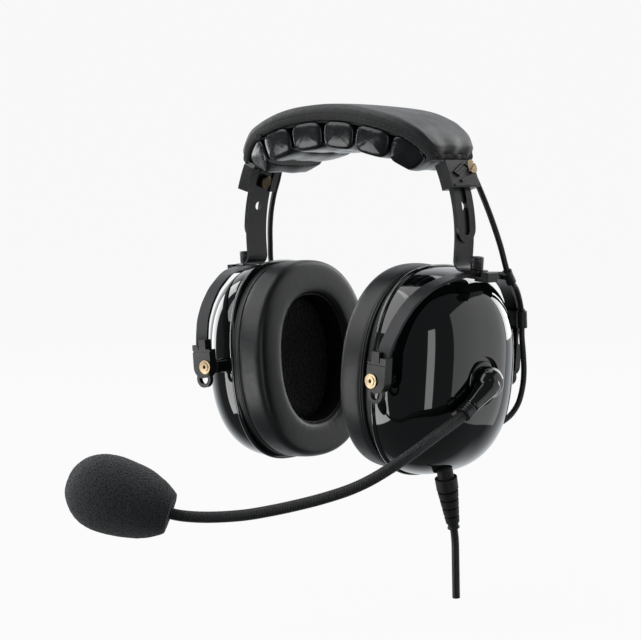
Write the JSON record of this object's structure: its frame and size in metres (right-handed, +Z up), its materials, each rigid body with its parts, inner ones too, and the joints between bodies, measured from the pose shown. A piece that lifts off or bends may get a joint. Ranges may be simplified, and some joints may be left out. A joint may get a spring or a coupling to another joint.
{
  "type": "aviation headset",
  "caption": "Over-ear aviation headset: sprung padded headband, domed ear cups tilting in stirrups, soft oval seals and a gooseneck boom microphone with foam windscreen.",
  "frame": {"origin": "midway between the two ear cups' tilt axes, where the centre of the wearer's head would be", "axes": "+X to the wearer's left (boom side), -Y the way the wearer faces, +Z up"},
  "size_m": [0.1819, 0.2279, 0.2545],
  "materials": {
    "pad_leather": "smooth black leather with a faint sheen",
    "pad_binding": "black woven backing",
    "cell_vinyl": "glossy soft black vinyl",
    "seal_vinyl": "soft dark grey-black vinyl skin",
    "spring_steel": "satin black coating on spring steel",
    "saddle_plastic": "moulded black, semi-matt",
    "dome_plastic": "mirror-gloss black",
    "baffle_plastic": "moulded black",
    "brass": "turned brass, lightly aged",
    "nut_steel": "knurled, dark plated",
    "bumper_rubber": "dark grey rubber",
    "cable_jacket": "satin black cable jacket",
    "boom_sleeve": "fine ribbed sleeve over a gooseneck",
    "elbow_plastic": "gloss black moulding",
    "open_foam": "open-cell foam",
    "liner_foam": "thin foam sheet",
    "speaker_metal": "stamped frame and magnet",
    "speaker_paper": "speaker cone",
    "capsule_metal": "microphone can"
  },
  "bodies": {
    "headband": {"band_spring": "spring_steel", "head_pad_cover": "pad_leather", "head_pad_base": "pad_binding", "head_pad_cell_1": "cell_vinyl", "head_pad_cell_2": "cell_vinyl", "head_pad_cell_3": "cell_vinyl", "head_pad_cell_4": "cell_vinyl", "head_pad_cell_5": "cell_vinyl", "head_pad_cell_6": "cell_vinyl", "head_pad_snaps": "nut_steel", "crossover_cable_band": "cable_jacket"},
    "side_left": {"side_strip_left": "spring_steel"},
    "arm_left": {"arm_strip_left": "spring_steel", "arm_clamp_left": "saddle_plastic", "clamp_screw_left": "brass", "clamp_nut_left": "brass"},
    "stirrup_left": {"stirrup_strip_left": "spring_steel", "swivel_screw_left": "nut_steel", "swivel_block_left": "bumper_rubber", "pivot_blocks_left": "saddle_plastic", "cable_clips_left": "saddle_plastic", "crossover_cable_left": "cable_jacket"},
    "cup_left": {"cup_shell_left": "dome_plastic", "cup_baffle_left": "baffle_plastic", "ear_seal_left": "seal_vinyl", "ear_liner_left": "liner_foam", "speaker_left": "speaker_metal", "speaker_cone_left": "speaker_paper", "cup_foam_left": "open_foam", "pivot_screws_left": "brass", "cord_boot_left": "bumper_rubber", "cord_left": "cable_jacket"},
    "side_right": {"side_strip_right": "spring_steel"},
    "arm_right": {"arm_strip_right": "spring_steel", "arm_clamp_right": "saddle_plastic", "clamp_screw_right": "brass", "clamp_nut_right": "brass"},
    "stirrup_right": {"stirrup_strip_right": "spring_steel", "swivel_screw_right": "nut_steel", "swivel_block_right": "bumper_rubber", "pivot_blocks_right": "saddle_plastic", "cable_clips_right": "saddle_plastic", "crossover_cable_right": "cable_jacket"},
    "cup_right": {"cup_shell_right": "dome_plastic", "cup_baffle_right": "baffle_plastic", "ear_seal_right": "seal_vinyl", "ear_liner_right": "liner_foam", "speaker_right": "speaker_metal", "speaker_cone_right": "speaker_paper", "cup_foam_right": "open_foam", "pivot_screws_right": "brass"},
    "boom": {"boom_elbow": "elbow_plastic", "boom_collar": "nut_steel", "boom_snap_ring": "nut_steel", "boom_inner": "boom_sleeve"},
    "microphone": {"boom_outer": "boom_sleeve", "mic_housing": "saddle_plastic", "mic_capsule": "capsule_metal", "mic_windscreen": "open_foam"}
  },
  "joints": [
    {"name": "spread_left", "type": "hinge", "parent": "headband", "child": "side_left", "pos_m": [0.06296, 0, 0.106], "axis": [0, -1, 0], "range_deg": [0, 25], "stiffness_Nm_per_rad": 2.3, "deforming": ["crossover_cable_left"]},
    {"name": "extend_left", "type": "hinge", "parent": "side_left", "child": "arm_left", "pos_m": [-0.0129, 0, 0.069], "axis": [0, 1, 0], "range_deg": [0, 17.5], "deforming": ["crossover_cable_left"]},
    {"name": "swivel_left", "type": "hinge", "parent": "arm_left", "child": "stirrup_left", "pos_m": [0.07784, 0, 0.05135], "axis": [0.0767, 0, 0.9971], "range_deg": [-12, 12], "deforming": ["crossover_cable_left"]},
    {"name": "tilt_left", "type": "hinge", "parent": "stirrup_left", "child": "cup_left", "pos_m": [0.05836, 0.00076, -0.00001], "axis": [0.0487, 0.9988, -0.0037], "range_deg": [-12, 6], "deforming": ["crossover_cable_left"]},
    {"name": "spread_right", "type": "hinge", "parent": "headband", "child": "side_right", "pos_m": [-0.06296, 0, 0.106], "axis": [0, 1, 0], "range_deg": [0, 25], "stiffness_Nm_per_rad": 2.3, "deforming": ["crossover_cable_right"]},
    {"name": "extend_right", "type": "hinge", "parent": "side_right", "child": "arm_right", "pos_m": [0.0129, 0, 0.069], "axis": [0, -1, 0], "range_deg": [0, 17.5], "deforming": ["crossover_cable_right"]},
    {"name": "swivel_right", "type": "hinge", "parent": "arm_right", "child": "stirrup_right", "pos_m": [-0.07784, 0, 0.05135], "axis": [0.0767, 0, -0.9971], "range_deg": [-12, 12], "deforming": ["crossover_cable_right"]},
    {"name": "tilt_right", "type": "hinge", "parent": "stirrup_right", "child": "cup_right", "pos_m": [-0.05836, 0.00076, -0.00001], "axis": [0.0487, -0.9988, 0.0037], "range_deg": [-12, 6], "deforming": ["crossover_cable_right"]},
    {"name": "boom_swivel", "type": "hinge", "parent": "cup_left", "child": "boom", "pos_m": [0.07365, -0.001, -0.00249], "axis": [-0.9959, 0.0489, 0.0766], "range_deg": [-20, 75]},
    {"name": "boom_flex", "type": "hinge", "parent": "boom", "child": "microphone", "pos_m": [0.056, -0.0918, -0.0516], "axis": [0, 0, 1], "range_deg": [-25, 25]}
  ],
  "couplings": [
    {"joint": "spread_right", "follows": "spread_left", "ratio": 1}
  ]
}
